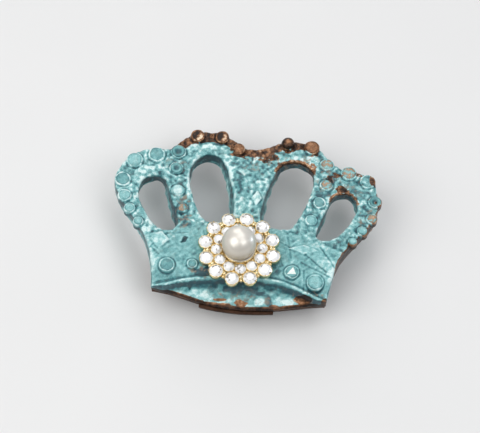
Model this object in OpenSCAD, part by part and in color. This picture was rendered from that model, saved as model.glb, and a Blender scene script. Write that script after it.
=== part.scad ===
// Crown hair clip, lying on its back: a cast, hollow-backed crown set with painted-over stones, a pearl
// and rhinestone button glued on its band, and a sprung alligator clip on its back plate.
// +X is the wearer's view to the right, +Y is the crown's top, +Z faces out of the crown's front.

/* [Casting] */
// Depth of the casting, from its back rim to the flat front of its arms
shell_depth = 4.4; // [3:0.1:6]
// Thickness of the casting's front wall
front_wall = 1.4; // [1:0.1:2]
// Thickness of the casting's side walls
side_wall = 1.2; // [0.8:0.1:1.4]
// How far the band's middle bulges above the arms' front
band_rise = 0.8; // [0.4:0.1:1.2]
// Thickness of the bottom lip, below the scoop
lip_t = 1.0; // [0.6:0.1:1.6]
// Wall of the ring that holds each stone of the casting
ring_wall = 0.35; // [0.2:0.05:0.5]
// How far a stone's ring stands above the arms' front
ring_rise = 0.6; // [0.3:0.1:1]

/* [Back plate] */
// Thickness of the plate that closes the band's hollow
plate_t = 0.8; // [0.5:0.1:1.2]
// How far the plate stands out under the bottom lip
plate_peek = 0.5; // [0:0.1:1]

/* [Button] */
// Radius of the circle that the outer stones stand on
outer_ring_r = 7.85; // [7.6:0.05:8.5]
// Diameter of an outer stone
outer_stone_d = 3.15; // [2.8:0.05:3.2]
// Radius of the circle that the inner stones stand on
inner_ring_r = 5.2; // [5.1:0.05:5.4]
// Diameter of an inner stone
inner_stone_d = 2.55; // [2.2:0.05:2.6]
// Diameter of the pearl
pearl_d = 7.9; // [7:0.1:8]
// Thickness of the button's floor
button_floor = 0.6; // [0.4:0.1:0.8]
// Height of the cups that hold the stones, above the button's floor
cup_h = 0.8; // [0.5:0.1:1]

/* [Hair clip] */
// Length of the fixed jaw
clip_l = 40; // [36:1:44]
// Width of both jaws
clip_w = 8; // [7:0.5:9]
// Thickness of the fixed jaw
clip_t = 0.8; // [0.6:0.1:1]
// Thickness of the moving jaw
jaw_t = 0.7; // [0.5:0.1:0.8]
// Radius of the hinge pin
pin_r = 0.6; // [0.5:0.05:0.65]
// Radial clearance of the moving jaw on its pin
pin_gap = 0.05; // [0.02:0.01:0.1]
// Radius of the spring's wire
wire_r = 0.25; // [0.2:0.01:0.25]

/* [Hidden] */
$fn = 48;
STONES = 12;

// Middle of the whole part, in Y, counted from the middle of the arms
centre_y = 1.5;

// Heights, from the floor that the clip rests on
clip_z = 5.3;
plate_z = clip_z + clip_t;
shell_z = plate_z + plate_t;
front_z = shell_z + shell_depth;

// Band: a convex strip between two arcs, with its axis along X
band_y = -8;
band_half = 7.5;
band_r = (band_half * band_half + band_rise * band_rise) / (2 * band_rise);
ridge_rise = 0.5;
ridge_w = 0.9;

// Points of the casting's outline, from its left bottom corner
lip_points = [[-20.2, -17.5], [-16, -18.1], [-12, -19.1], [-7, -20.3], [0, -20.8], [7, -20.3],
              [12, -19.4], [16, -18.5], [19.8, -17.9]];
side_points = [[19.8, -17.9], [20.3, -15], [21.1, -11], [22.3, -7.4], [24.4, -3.8], [26.9, -0.4],
               [29.3, 3], [30.5, 7], [29.9, 11.2], [28.9, 14.6], [25.2, 16.5], [21, 17.2],
               [18.2, 19.1], [15.7, 22.2], [12, 23.3], [8, 23.1], [5, 21.8], [2.2, 20.4],
               [0.3, 20.1], [-1.8, 20.6], [-4.4, 22.3], [-7.2, 23.8], [-10.2, 24], [-13.4, 23.8],
               [-16, 21.4], [-18.6, 18.8], [-22.4, 18.2], [-26.8, 16.8], [-29.9, 13], [-31.2, 9],
               [-29.8, 4.6], [-27.5, 1.2], [-25.1, -2], [-22.9, -5.4], [-21.4, -9.6],
               [-20.5, -14], [-20.2, -17.5]];

// Points of the four openings, each from its top and anticlockwise
left_small = [[-22, 10.7], [-24.4, 9.3], [-25.2, 5.6], [-23.8, 2], [-21.3, -1.7], [-19, -3.5],
              [-16.6, -3.3], [-15.4, -1.2], [-16.2, 2], [-17.9, 6], [-19.3, 9.6]];
left_big = [[-9.6, 17.6], [-12.4, 16], [-13.8, 12.5], [-13.2, 7.8], [-11.4, 2.8], [-9.2, -0.2],
            [-6, -0.4], [-3.4, 0.6], [-2.8, 4], [-3.7, 9], [-5.2, 14], [-7, 16.8]];
right_big = [[10.2, 17.3], [7, 15.8], [5.1, 11.5], [3.7, 6.5], [3.1, 2], [4.4, -0.3], [7.5, -0.8],
             [10, -0.6], [11.7, 1.6], [13.6, 6], [14.9, 10.8], [14.8, 14.4], [13, 16.6]];
right_small = [[22, 9.9], [19.7, 8.6], [18.2, 4.5], [16.8, 0.6], [16.5, -2], [18.4, -2.9],
               [21, -1.8], [23.5, 1.2], [25.2, 5], [25.2, 7.9], [24, 9.4]];
OPENINGS = [left_small, left_big, right_big, right_small];

// Arcs across the band: its top edge, and the ridge above the scoop
band_top = [[-24, -6], [-17, -3.6], [-10, -1.8], [0, -0.8], [10, -1.8], [15, -3.4], [24, -6]];
ridge = [[-22, -19.2], [-15, -17.2], [-8, -15.8], [0, -15.3], [8, -15.6], [15, -17.3],
         [22, -20]];

// Scoop under the ridge, as its floor's points in Y and height above the casting's back rim
scoop_floor = [[-15.1, 4.2], [-15.7, 3.1], [-16.9, 2.2], [-18.6, 1.5], [-21.5, lip_t]];
// The casting is solid below this line
hollow_from = -14.4;

// Stones of the casting: x, y and the outer diameter of the ring
stone_spots = [[-24.6, -2.1, 2.5], [-26.9, 1.2, 2.7], [-28.4, 4.5, 3.2], [-29.2, 8.8, 3.7],
               [-27, 14.2, 3.9], [-22, 16.2, 4], [-17, 17.5, 3.6], [-3, 19.4, 3.1],
               [-17.1, 12.9, 3.2], [-16.2, 7, 3.1], [-14.8, 2.4, 2.5],
               [8.4, 22, 3.2], [14.1, 21.5, 3.7], [17.9, 17.3, 3.3], [23.1, 15.5, 3.7],
               [29.6, 8.3, 3.2], [29, 3.8, 2.7], [27, 0.3, 2.6], [24.9, -2.7, 2.2],
               [18.1, 11.8, 3.1], [16.7, 6.8, 2.9], [15, 2, 2.7],
               [11.4, -12.2, 3.4], [16.9, -14.2, 3.9], [-17, -13, 3.6], [-11.3, -12.2, 2.4]];
// Rings that have lost their stones
empty_spots = [[-12.9, 22.1, 3.4], [-7.1, 22.3, 3.3], [27.6, 13.7, 3.7]];
ring_depth = 1.6;
cup_sink = 0.15;
stone_gap = 0.05;
crown_share = 0.35;

// Button
button_x = -0.9;
button_y = -8.3;
button_z = front_z + band_rise + 0.2;
seat_z = button_z + button_floor;
glue_r = 6;
outer_turn = 16.5;
inner_turn = 1.5;
// How far the whole button is turned on the band
button_turn = 5.5;
cup_wall = 0.15;
disc_r = 6.9;
bead_r = 0.5;
bead_ring_r = 8.3;
peg_r = 0.5;
peg_h = 2.6;
// Depth of the flat ground under the pearl
pearl_flat = 0.5;
pearl_cup_r = 3.8;

// Hair clip: hinge pin along Y, the jaw's blade is an arc that touches the fixed jaw at its tip
clip_y = -5;
pin_x = 6;
pin_z = 4;
ear_t = 0.7;
ear_gap = 0.2;
ear_r = 1;
jaw_ear_r = 1.15;
belly_x = -4;
blade_r = 27;
facet = 4.57;
blade_start = -7.5 * facet;
tail_rest_x = 17.2;
tail_end_x = 19.2;
coil_r = 1;
coil_turns = 3;
coil_pitch = 0.56;
coil_end = 168.5;
leg_l = 7;
coil_step = 15;

function spline(a, b, c, d, t) =
    0.5 * (2 * b + (c - a) * t + (2 * a - 5 * b + 4 * c - d) * t * t
           + (3 * b - a - 3 * c + d) * t * t * t);

// Smooth curve through the points of a closed ring
function ring_curve(p, n) =
    let (m = len(p))
    [for (i = [0:m - 1], k = [0:n - 1])
        spline(p[(i + m - 1) % m], p[i], p[(i + 1) % m], p[(i + 2) % m], k / n)];

// Smooth curve through the points of an open chain, without its last point
function chain_curve(p, n) =
    let (m = len(p) - 1)
    [for (i = [0:m - 1], k = [0:n - 1])
        spline(p[max(i - 1, 0)], p[i], p[i + 1], p[min(i + 2, m)], k / n)];

// Anticlockwise ring of points moved outward by d
function grown(p, d) =
    let (m = len(p))
    [for (i = [0:m - 1])
        let (t = p[(i + 1) % m] - p[(i + m - 1) % m])
        p[i] + d * [t[1], -t[0]] / norm(t)];

outline = concat(chain_curve(lip_points, 4), chain_curve(side_points, 4));
openings = [for (p = OPENINGS) ring_curve(p, 4)];

function two_digits(i) = i < 10 ? str("0", i) : str(i);
function stone_name(set, i) = str(set, "_stone_", two_digits(i + 1));

// Moves the crown so that its bounding box is centred over the origin
module placed() {
    translate([0, -centre_y, 0]) children();
}

// Turns the button about its own middle
module turned() {
    translate([button_x, button_y, 0]) rotate([0, 0, button_turn]) translate([-button_x, -button_y, 0]) children();
}

module openings_2d(grow) {
    for (p = openings) polygon(grown(p, grow));
}

// Area of the band between its top edge and the ridge
module band_2d() {
    top = chain_curve(band_top, 4);
    low = chain_curve(ridge, 4);
    polygon(concat(low, [ridge[6], band_top[6]], [for (i = [len(top) - 1:-1:0]) top[i]]));
}

// Area below the ridge
module scoop_2d() {
    low = chain_curve(ridge, 4);
    polygon(concat([[-26, -24], [26, -24], ridge[6]], [for (i = [len(low) - 1:-1:0]) low[i]]));
}

// Round column along X whose top is the band's convex front
module band_curve(rise = 0) {
    translate([-30, band_y, front_z + band_rise - band_r + rise])
        rotate([0, 90, 0]) cylinder(r = band_r, h = 60, $fn = 360);
}

module band_bulge() {
    intersection() {
        translate([0, 0, front_z - front_wall]) linear_extrude(front_wall + band_rise) difference() {
            intersection() { polygon(outline); band_2d(); }
            openings_2d(0);
        }
        band_curve();
    }
}

// Raised bead along the ridge
module ridge_bead() {
    low = chain_curve(ridge, 4);
    translate([0, 0, front_z - front_wall]) linear_extrude(front_wall + ridge_rise) intersection() {
        polygon(grown(outline, -0.2));
        polygon(concat(low, [for (i = [len(low) - 1:-1:0]) low[i] + [0, ridge_w]]));
    }
}

// Space that the scoop takes out of the casting
module scoop_air() {
    intersection() {
        translate([0, 0, shell_z]) linear_extrude(shell_depth + 2) scoop_2d();
        translate([-30, 0, shell_z]) rotate([90, 0, 90]) linear_extrude(60)
            polygon(concat(scoop_floor, [[-26, lip_t], [-26, 9], [scoop_floor[0][0], 9]]));
    }
}

// Hollow in the back of the casting, above the ridge
module hollow() {
    translate([0, 0, shell_z - 1]) linear_extrude(shell_depth - front_wall + 1) difference() {
        polygon(grown(outline, -side_wall));
        openings_2d(side_wall);
        scoop_2d();
        translate([-40, hollow_from - 20]) square([80, 20]);
    }
}

module stone_ring(spot) {
    translate([spot[0], spot[1], front_z - ring_depth]) cylinder(d = spot[2], h = ring_depth + ring_rise);
}

module stone_seat(spot) {
    translate([spot[0], spot[1], front_z + rise_at(spot) - cup_sink])
        cylinder(d = spot[2] - 2 * ring_wall, h = 3);
}

// Height of the front above the arms' flat front at a stone: the band bulges, the arms don't
function rise_at(spot) =
    spot[1] > -6 ? 0 : band_rise - (spot[1] - band_y) * (spot[1] - band_y) / (2 * band_r);

module crown_casting() color("mediumturquoise") placed() difference() {
    union() {
        difference() {
            translate([0, 0, shell_z]) linear_extrude(shell_depth) difference() {
                polygon(outline);
                openings_2d(0);
            }
            hollow();
            scoop_air();
        }
        band_bulge();
        ridge_bead();
        for (spot = concat(stone_spots, empty_spots)) translate([0, 0, rise_at(spot)]) stone_ring(spot);
    }
    for (spot = concat(stone_spots, empty_spots)) stone_seat(spot);
}

module back_plate() color("peru") placed() {
    peek_x = [-9, 8];
    translate([0, 0, plate_z]) linear_extrude(plate_t) {
        difference() {
            intersection() {
                polygon(grown(outline, -0.3));
                translate([-30, -24]) square([60, 22.6]);
            }
            openings_2d(0.6);
        }
        intersection() {
            translate([0, -plate_peek]) polygon(outline);
            translate([peek_x[0], -24]) square([peek_x[1] - peek_x[0], 12]);
        }
    }
}

// Flat-backed stone: a round girdle with a low bevelled crown
module set_stone(d, h) {
    girdle = h * (1 - crown_share);
    cylinder(d = d, h = girdle);
    translate([0, 0, girdle]) cylinder(d1 = d, d2 = d * 0.6, h = h - girdle);
}

module frame_stone(i) color("paleturquoise") placed() {
    spot = stone_spots[i];
    translate([spot[0], spot[1], front_z + rise_at(spot) - cup_sink])
        set_stone(spot[2] - 2 * ring_wall - 2 * stone_gap, cup_sink + ring_rise + 0.2);
}

module on_ring(r, turn, i) {
    translate([button_x, button_y, 0]) rotate([0, 0, turn + i * 360 / STONES])
        translate([r, 0, 0]) children();
}

module button_stone(d) {
    translate([0, 0, seat_z]) set_stone(d, cup_h + 0.5);
}

module outer_stone(i) color("white") placed() turned() on_ring(outer_ring_r, outer_turn, i) button_stone(outer_stone_d);

module inner_stone(i) color("white") placed() turned() on_ring(inner_ring_r, inner_turn, i) button_stone(inner_stone_d);

module seat(d) {
    translate([0, 0, seat_z]) cylinder(d = d + 2 * stone_gap, h = cup_h + 1);
}

module button_setting() color("gold") placed() turned() {
    difference() {
        union() {
            translate([button_x, button_y, button_z]) cylinder(r = disc_r, h = button_floor + cup_h);
            for (i = [0:STONES - 1]) {
                on_ring(outer_ring_r, outer_turn, i) translate([0, 0, button_z])
                    cylinder(d = outer_stone_d + 2 * (stone_gap + cup_wall), h = button_floor + cup_h);
                // Bead between this outer cup and the next
                on_ring(bead_ring_r, outer_turn + 180 / STONES, i) translate([0, 0, seat_z + 0.3])
                    sphere(r = bead_r);
            }
        }
        for (i = [0:STONES - 1]) {
            on_ring(outer_ring_r, outer_turn, i) seat(outer_stone_d);
            on_ring(inner_ring_r, inner_turn, i) seat(inner_stone_d);
        }
        translate([button_x, button_y, seat_z])
            cylinder(r1 = pearl_cup_r - 1, r2 = pearl_cup_r - 0.25, h = cup_h + 0.01);
    }
    // Rim of the pearl's bowl, and the peg that the pearl is glued on
    translate([button_x, button_y, seat_z]) {
        rotate_extrude() translate([pearl_cup_r - 0.25, cup_h - 0.2]) square([0.25, 0.6]);
        translate([0, 0, -0.1]) cylinder(r = peg_r, h = peg_h);
    }
}

// Adhesive between the band's convex front and the button's flat floor
module button_glue() color("lightcyan") placed() difference() {
    translate([button_x, button_y, front_z]) cylinder(r = glue_r, h = button_z - front_z);
    band_curve();
}

module pearl() color("linen") placed() difference() {
    translate([button_x, button_y, seat_z + pearl_d / 2 - pearl_flat]) sphere(d = pearl_d, $fn = 64);
    translate([button_x, button_y, seat_z - 2]) cylinder(r = pearl_cup_r, h = 2);
    translate([button_x, button_y, seat_z - 1]) cylinder(r = peg_r + stone_gap, h = peg_h + 1.1);
}

module along_pin(from_y) {
    translate([pin_x, from_y, pin_z]) rotate([-90, 0, 0]) children();
}

module clip_fixed_jaw() color("silver") placed() {
    end_x = (clip_l - clip_w) / 2;
    translate([0, clip_y, clip_z]) {
        translate([-end_x, -clip_w / 2, 0]) cube([2 * end_x, clip_w, clip_t]);
        for (x = [-end_x, end_x]) translate([x, 0, 0]) cylinder(d = clip_w, h = clip_t);
    }
    for (y = [clip_y - clip_w / 2 + ear_t + ear_gap, clip_y + clip_w / 2 - 2 * ear_t - ear_gap])
        difference() {
            union() {
                along_pin(y) cylinder(r = ear_r, h = ear_t);
                translate([pin_x - ear_r, y, pin_z]) cube([2 * ear_r, ear_t, clip_z - pin_z]);
            }
            along_pin(y - 1) cylinder(r = pin_r + 0.02, h = ear_t + 2);
        }
}

// Side view of the moving jaw's strip: blade, then the tail that the thumb presses
function blade_point(a, r) =
    [belly_x + r * sin(a), blade_r * cos(facet / 2) - r * cos(a)];
function blade_side(r) = [for (k = [0:12]) blade_point(blade_start + k * facet, r)];
jaw_low = concat(blade_side(blade_r), [[tail_rest_x, 0], [tail_end_x, 0], [tail_end_x + 0.8, 0.5]]);
jaw_top = concat(blade_side(blade_r - jaw_t),
                 [[tail_rest_x, jaw_t], [tail_end_x - 0.2, jaw_t], [tail_end_x + 0.5, 0.5 + jaw_t]]);

module clip_moving_jaw() color("silver") placed() {
    intersection() {
        translate([0, clip_y + clip_w / 2, 0]) rotate([90, 0, 0]) linear_extrude(clip_w)
            polygon(concat(jaw_low, [for (i = [len(jaw_top) - 1:-1:0]) jaw_top[i]]));
        translate([0, clip_y, -1]) union() {
            translate([-15, -clip_w / 2, 0]) cube([31, clip_w, 8]);
            for (x = [-15, 16]) translate([x, 0, 0]) cylinder(d = clip_w, h = 8);
        }
    }
    for (y = [clip_y - clip_w / 2, clip_y + clip_w / 2 - ear_t])
        difference() {
            union() {
                along_pin(y) cylinder(r = jaw_ear_r, h = ear_t);
                translate([pin_x - jaw_ear_r, y, 2.2]) cube([2 * jaw_ear_r, ear_t, pin_z - 2.2]);
            }
            along_pin(y - 1) cylinder(r = pin_r + pin_gap, h = ear_t + 2);
        }
}

module clip_hinge_pin() color("silver") placed() {
    head_t = 0.3;
    from_y = clip_y - clip_w / 2 - 0.1;
    along_pin(from_y) cylinder(r = pin_r, h = clip_w + 0.2);
    along_pin(from_y - head_t) cylinder(r = pin_r + 0.35, h = head_t);
    along_pin(from_y + clip_w + 0.2) cylinder(r = pin_r + 0.35, h = head_t);
}

// Middle line of the spring's wire: a leg under the fixed jaw, the coil, and a leg on the jaw's tail
coil_from = 90;
coil_to = coil_from + 360 * coil_turns + coil_end;
coil_y = clip_y - coil_pitch * (coil_to - coil_from) / 720;
function coil_point(a) =
    [pin_x + coil_r * cos(a), coil_y + coil_pitch * (a - coil_from) / 360, pin_z + coil_r * sin(a)];
function leg_point(a, l) = coil_point(a) + l * [-sin(a), 0, cos(a)];
wire_path = concat([leg_point(coil_from, -leg_l)],
                   [for (a = [coil_from:coil_step:coil_to]) coil_point(a)],
                   [coil_point(coil_to), leg_point(coil_to, leg_l)]);

// Round wire swept along the path; its sides keep one direction close to the pin's axis
module swept_wire(path, r, sides) {
    m = len(path);
    rings = [for (i = [0:m - 1], k = [0:sides - 1])
        let (t = path[min(i + 1, m - 1)] - path[max(i - 1, 0)],
             u = cross([0, 1, 0], t) / norm(cross([0, 1, 0], t)),
             v = cross(t, u) / norm(cross(t, u)),
             a = 360 * k / sides)
        path[i] + r * (cos(a) * u + sin(a) * v)];
    walls = [for (i = [0:m - 2], k = [0:sides - 1])
        let (a = i * sides + k, b = i * sides + (k + 1) % sides)
        [a, b, b + sides, a + sides]];
    ends = [[for (k = [sides - 1:-1:0]) k], [for (k = [0:sides - 1]) (m - 1) * sides + k]];
    polyhedron(points = rings, faces = concat(walls, ends));
}

module clip_spring() color("lightgray") placed() swept_wire(wire_path, wire_r, 8);

crown_casting();
back_plate();
button_setting();
button_glue();
pearl();
clip_fixed_jaw();
clip_moving_jaw();
clip_hinge_pin();
clip_spring();
for (i = [0:len(stone_spots) - 1])
    frame_stone(i);
for (i = [0:STONES - 1]) {
    outer_stone(i);
    inner_stone(i);
}
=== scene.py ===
from math import acos, cos, pi, radians, sin, sqrt

import bmesh
import bpy
import numpy as np
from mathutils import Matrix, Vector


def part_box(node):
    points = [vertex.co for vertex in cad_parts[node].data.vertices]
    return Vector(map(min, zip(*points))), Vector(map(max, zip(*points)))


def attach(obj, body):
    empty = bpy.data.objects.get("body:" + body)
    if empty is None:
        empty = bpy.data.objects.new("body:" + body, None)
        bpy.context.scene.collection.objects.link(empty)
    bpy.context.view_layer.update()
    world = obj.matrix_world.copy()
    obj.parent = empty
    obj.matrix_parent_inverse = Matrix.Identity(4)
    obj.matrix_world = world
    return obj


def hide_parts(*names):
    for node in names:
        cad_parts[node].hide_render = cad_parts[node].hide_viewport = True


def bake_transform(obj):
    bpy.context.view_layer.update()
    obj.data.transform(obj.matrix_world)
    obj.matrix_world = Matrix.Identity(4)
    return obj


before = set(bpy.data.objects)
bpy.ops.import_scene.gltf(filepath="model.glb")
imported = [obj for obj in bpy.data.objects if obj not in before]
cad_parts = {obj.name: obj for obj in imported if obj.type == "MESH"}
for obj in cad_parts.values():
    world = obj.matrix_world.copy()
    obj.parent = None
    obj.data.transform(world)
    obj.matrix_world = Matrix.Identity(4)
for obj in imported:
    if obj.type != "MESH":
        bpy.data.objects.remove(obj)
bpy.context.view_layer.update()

import openvdb
from mathutils import Matrix, Vector

MM = 0.001
SEED = 7

# ------------ sizes
# As in the CAD, apart from RIDGE, RING_WALL, RING_RISE and the leans in OPENINGS, which follow the look
CENTRE_Y = 1.5
SHELL_DEPTH = 4.4
BACK_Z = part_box("crown_casting")[0].z / MM
FRONT_Z = BACK_Z + SHELL_DEPTH
FRONT_WALL, SIDE_WALL = 1.4, 1.2
BAND_Y, BAND_HALF, BAND_RISE = -8.0, 7.5, 0.8
BUTTON = (-0.9, -8.3)
BUTTON_X, BUTTON_Y = BUTTON
BUTTON_Z = FRONT_Z + BAND_RISE + 0.2
SEAT_Z = BUTTON_Z + 0.6
CUP_H = 0.8
PEARL_D, PEARL_FLAT = 7.9, 0.5
PEARL_SHIFT = -0.2  # the pearl was glued a little off its bowl's middle
OUTER_RING_R, OUTER_D, OUTER_TURN = 7.85, 3.15, 22
INNER_RING_R, INNER_D, INNER_TURN = 5.2, 2.55, 7
STONES = 12

LIP = [
    (-20.2, -17.5), (-16, -18.1), (-12, -19.1), (-7, -20.3), (0, -20.8), (7, -20.3), (12, -19.4),
    (16, -18.5), (19.8, -17.9)]
SIDE = [
    (19.8, -17.9), (20.3, -15), (21.1, -11), (22.3, -7.4), (24.4, -3.8), (26.9, -0.4), (29.3, 3),
    (30.5, 7), (29.9, 11.2), (28.9, 14.6), (25.2, 16.5), (21, 17.2), (18.2, 19.1), (15.7, 22.2),
    (12, 23.3), (8, 23.1), (5, 21.8), (2.2, 20.4), (0.3, 20.1), (-1.8, 20.6), (-4.4, 22.3),
    (-7.2, 23.8), (-10.2, 24), (-13.4, 23.8), (-16, 21.4), (-18.6, 18.8), (-22.4, 18.2), (-26.8, 16.8),
    (-29.9, 13), (-31.2, 9), (-29.8, 4.6), (-27.5, 1.2), (-25.1, -2), (-22.9, -5.4), (-21.4, -9.6),
    (-20.5, -14), (-20.2, -17.5)]
LEFT_SMALL = [
    (-22, 10.7), (-24.4, 9.3), (-25.2, 5.6), (-23.8, 2), (-21.3, -1.7), (-19, -3.5), (-16.6, -3.3),
    (-15.4, -1.2), (-16.2, 2), (-17.9, 6), (-19.3, 9.6)]
LEFT_BIG = [
    (-9.6, 17.6), (-12.4, 16), (-13.8, 12.5), (-13.2, 7.8), (-11.4, 2.8), (-9.2, -0.2), (-6, -0.4),
    (-3.4, 0.6), (-2.8, 4), (-3.7, 9), (-5.2, 14), (-7, 16.8)]
RIGHT_BIG = [
    (10.2, 17.3), (7, 15.8), (5.1, 11.5), (3.7, 6.5), (3.1, 2), (4.4, -0.3), (7.5, -0.8), (10, -0.6),
    (11.7, 1.6), (13.6, 6), (14.9, 10.8), (14.8, 14.4), (13, 16.6)]
RIGHT_SMALL = [
    (22, 9.9), (19.7, 8.6), (18.2, 4.5), (16.8, 0.6), (16.5, -2), (18.4, -2.9), (21, -1.8), (23.5, 1.2),
    (25.2, 5), (25.2, 7.9), (24, 9.4)]
# Each opening, how far its wall nearest the crown's middle leans out per mm of depth, and how deep its
# top wall goes before it runs back out of sight
OPENINGS = [(LEFT_SMALL, 0.24, 3.0), (LEFT_BIG, 0.36, 3.8), (RIGHT_BIG, 0.3, 2.6), (RIGHT_SMALL, 0.1, 2.9)]
BAND_TOP = [(-24, -6), (-17, -3.6), (-10, -1.8), (0, -0.8), (10, -1.8), (15, -3.4), (24, -6)]
RIDGE = [(-22, -18.7), (-15, -16.9), (-8, -15.6), (0, -14.9), (8, -15.1), (15, -16.9), (22, -19.2)]

# Creases pressed into the band: from x, y to x, y, and how deep
CREASES = [
    (8, -4.6, 14.2, -7.4, 0.22), (14.2, -7.4, 19.2, -11.4, 0.25), (17.7, -5.1, 21.1, -10.2, 0.3),
    (-21.5, -9, -17.6, -4.7, 0.2), (-17.6, -4.7, -13, -4.2, 0.15), (10, -3.2, 11, -8.6, 0.18),
    (-21, -8.8, -19.2, -10.4, 0.2), (13.4, -9.6, 20.6, -12.8, 0.2), (-14.2, -6.9, -13, -5.6, 0.5),
    (14.2, -11.4, 14.4, -16.2, 0.2), (7.4, -7.2, 9.4, -10.8, 0.15), (-9.4, -3.4, -8.6, -6.2, 0.15)]
CREASE_WIDTH = 0.22

# Flat kites that stand proud of the rough front: x, y, half width, half height, how high and how steep
PLATES = [(2.1, 6.7, 1.25, 2.1, 0.34, 0.16), (-1.2, 13.6, 1.5, 1.1, 0.2, -0.1),
          (-19.2, -6.6, 2.2, 2.6, 0.16, 0.03), (13.8, -6.2, 3.4, 1.3, 0.16, -0.03)]

# Stones of the casting: x, y, the ring's diameter, and what the stone looks like
FRAME_STONES = [
    (-24.6, -2.1, 2.5, "dome"), (-26.9, 1.2, 2.7, "flat"), (-28.4, 4.5, 3.2, "flat"),
    (-29.2, 8.8, 3.7, "dull"), (-27, 14.2, 3.9, "flat"), (-22, 16.2, 4, "dull"), (-17, 17.5, 3.6, "cup"),
    (-3, 19.4, 3.1, "bare"), (-17.1, 12.9, 3.2, "cup"), (-16.2, 7, 3.1, "pale"),
    (-14.8, 2.4, 2.5, "worn"), (8.4, 22, 3.2, "ball"), (14.1, 21.5, 3.7, "bare"),
    (17.9, 17.3, 3.3, "worn"), (23.1, 15.5, 3.7, "worn"), (29.6, 8.3, 3.2, "cup"),
    (29, 3.8, 2.7, "worn"), (27, 0.3, 2.6, "dome"), (24.9, -2.7, 2.2, "dome"),
    (18.1, 11.8, 3.1, "worn"), (16.7, 6.8, 2.9, "dull"), (15, 2, 2.7, "flat"),
    (11.4, -12.2, 3.4, "white"), (16.9, -14.2, 3.9, "cut"), (-17, -13, 3.6, "dull"),
    (-11.3, -12.2, 2.4, "dull")]
EMPTY_RINGS = [(-12.9, 22.1, 3.4), (-7.1, 22.3, 3.3), (27.6, 13.7, 3.7)]
ALL_RINGS = [stone[:3] for stone in FRAME_STONES] + EMPTY_RINGS
RING_WALL, RING_RISE = 0.36, 0.24
TOP_RINGS_Y, TOP_RINGS_RISE = 19.3, 0.35  # the rings above this Y stand this much higher

# ------------ number fields


def spline(points, closed, steps=4):
    """Smooth curve through points, as the CAD draws it."""
    p = np.array(points, float)
    m = len(p)
    t = (np.arange(steps) / steps)[:, None]
    out = []
    for i in range(m if closed else m - 1):
        a, b, c, d = (p[j % m] if closed else p[min(max(j, 0), m - 1)] for j in range(i - 1, i + 3))
        out.append(0.5 * (2 * b + (c - a) * t + (2 * a - 5 * b + 4 * c - d) * t**2
                          + (3 * b - a - 3 * c + d) * t**3))
    return np.vstack(out)


def from_segment(x, y, ax, ay, bx, by):
    """How far each point lies from the nearest point of a straight segment, in X and in Y."""
    ex, ey = bx - ax, by - ay
    t = np.clip(((x - ax) * ex + (y - ay) * ey) / (ex * ex + ey * ey), 0, 1)
    return x - ax - t * ex, y - ay - t * ey


def outline_distance(ring, x, y):
    """Distance from each point to a closed ring, negative inside it."""
    best = np.full(x.shape, 1e9)
    inside = np.zeros(x.shape, bool)
    for (ax, ay), (bx, by) in zip(ring, np.roll(ring, -1, 0)):
        dx, dy = from_segment(x, y, ax, ay, bx, by)
        best = np.minimum(best, dx**2 + dy**2)
        if ay != by:
            inside ^= ((ay > y) != (by > y)) & (x < (bx - ax) * (y - ay) / (by - ay) + ax)
    return np.where(inside, -1, 1) * np.sqrt(best)


def along(points, x):
    """Y of an open curve at each x."""
    curve = np.vstack([spline(points, False, 8), points[-1]])
    return np.interp(x, curve[:, 0], curve[:, 1])


def step(low, high, v):
    """0 at low and 1 at high, with a soft start and end."""
    t = np.clip((v - low) / (high - low), 0, 1)
    return t * t * (3 - 2 * t)


def smooth_max(a, b, k):
    """The higher of two fields, rounded where they are within k of each other."""
    return np.maximum(a, b) + np.maximum(k - np.abs(a - b), 0) ** 2 / (4 * k)


def smooth_min(a, b, k):
    return -smooth_max(-a, -b, k)


def chance(ix, iy, iz, seed):
    """A number from 0 to 1 that depends only on whole coordinates."""
    h = (ix * 73856093) ^ (iy * 19349663) ^ (iz * 83492791) ^ (seed * 2654435761)
    h = ((h ^ (h >> 13)) * 1274126177) & 0xFFFFFFFF
    h = ((h ^ (h >> 16)) * 2246822519) & 0xFFFFFFFF
    return ((h ^ (h >> 15)) & 0xFFFFFF) / float(0x1000000)


def noise(x, y, z, cell, seed):
    """Soft value noise from -1 to 1."""
    p = [np.asarray(v, float) / cell for v in np.broadcast_arrays(x, y, z)]
    whole = [np.floor(v).astype(np.int64) for v in p]
    part = [step(0, 1, v - w) for v, w in zip(p, whole)]
    total = 0
    for corner in range(8):
        bits = [(corner >> k) & 1 for k in range(3)]
        weight = 1
        for bit, f in zip(bits, part):
            weight = weight * (f if bit else 1 - f)
        total = total + weight * chance(*[w + b for w, b in zip(whole, bits)], seed + SEED)
    return total * 2 - 1


def facets(x, y, cell, seed, slope, crease):
    """Hammered, creased facets: the highest of many tilted planes, each falling off round its own spot."""
    u, v = x / cell, y / cell
    iu, iv = np.floor(u).astype(np.int64), np.floor(v).astype(np.int64)
    best = np.full(x.shape, -1e9)
    for du in (-1, 0, 1):
        for dv in (-1, 0, 1):
            a, b = iu + du, iv + dv
            sx = u - a - 0.15 - 0.7 * chance(a, b, 1, seed)
            sy = v - b - 0.15 - 0.7 * chance(a, b, 2, seed)
            gx, gy = chance(a, b, 3, seed) - 0.5, chance(a, b, 4, seed) - 0.5
            best = np.maximum(best, 2 * slope * (gx * sx + gy * sy) - crease * (sx * sx + sy * sy))
    return best * cell


# ------------ the casting's form

OUTLINE = np.vstack([spline(LIP, False), spline(SIDE, False)])
SHRINK = 0.05  # keeps the rough surface inside the CAD's box


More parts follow.
